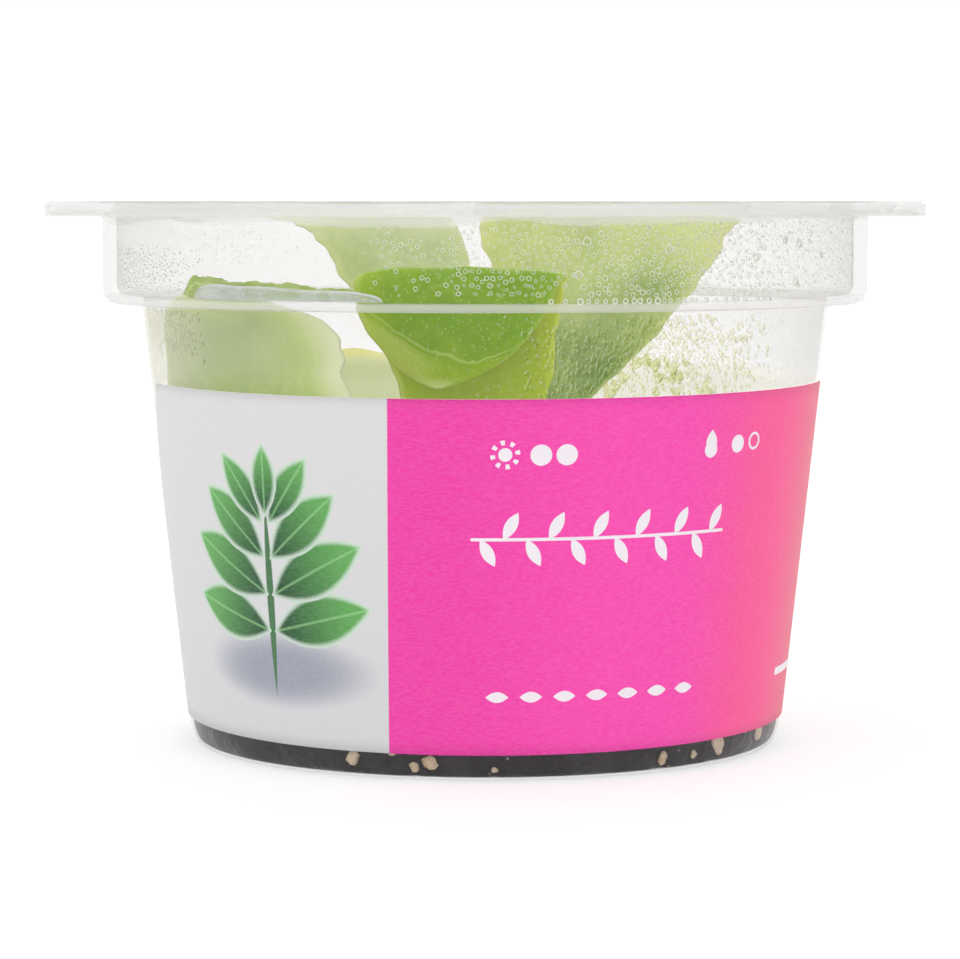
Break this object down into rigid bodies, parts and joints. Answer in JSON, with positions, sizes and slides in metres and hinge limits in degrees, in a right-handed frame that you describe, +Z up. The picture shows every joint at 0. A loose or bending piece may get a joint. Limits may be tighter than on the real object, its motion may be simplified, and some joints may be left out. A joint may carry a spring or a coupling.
{
  "type": "butterwort in a sealed growing cup",
  "caption": "Butterwort rosette rooted in dark mix inside a clear, tapered plastic cup with a flanged rim, sealed with clear film and wrapped in a label.",
  "frame": {"origin": "centre of the flat ring that the cup stands on, at its underside", "axes": "+Z up along the cup's axis, -Y towards the front of the cup, where the folded leaf stands above the label"},
  "size_m": [0.095, 0.095, 0.0587],
  "materials": {
    "clear_plastic": "gloss",
    "clear_film": "gloss",
    "label_print": "satin",
    "growing_medium": "matte",
    "leaf": "satin",
    "young_leaf": "satin"
  },
  "bodies": {
    "root": {"cup": "clear_plastic", "sealing_film": "clear_film", "label": "label_print", "growing_medium": "growing_medium", "crown": "young_leaf", "leaf_front": "leaf", "leaf_left": "leaf", "leaf_back_left": "leaf", "leaf_back_right": "leaf", "leaf_back": "leaf", "leaf_right": "leaf", "leaf_low_front": "leaf", "leaf_low_right": "leaf", "leaf_low_back": "leaf", "leaf_low_left": "leaf", "leaf_low_front_left": "leaf"}
  },
  "joints": []
}
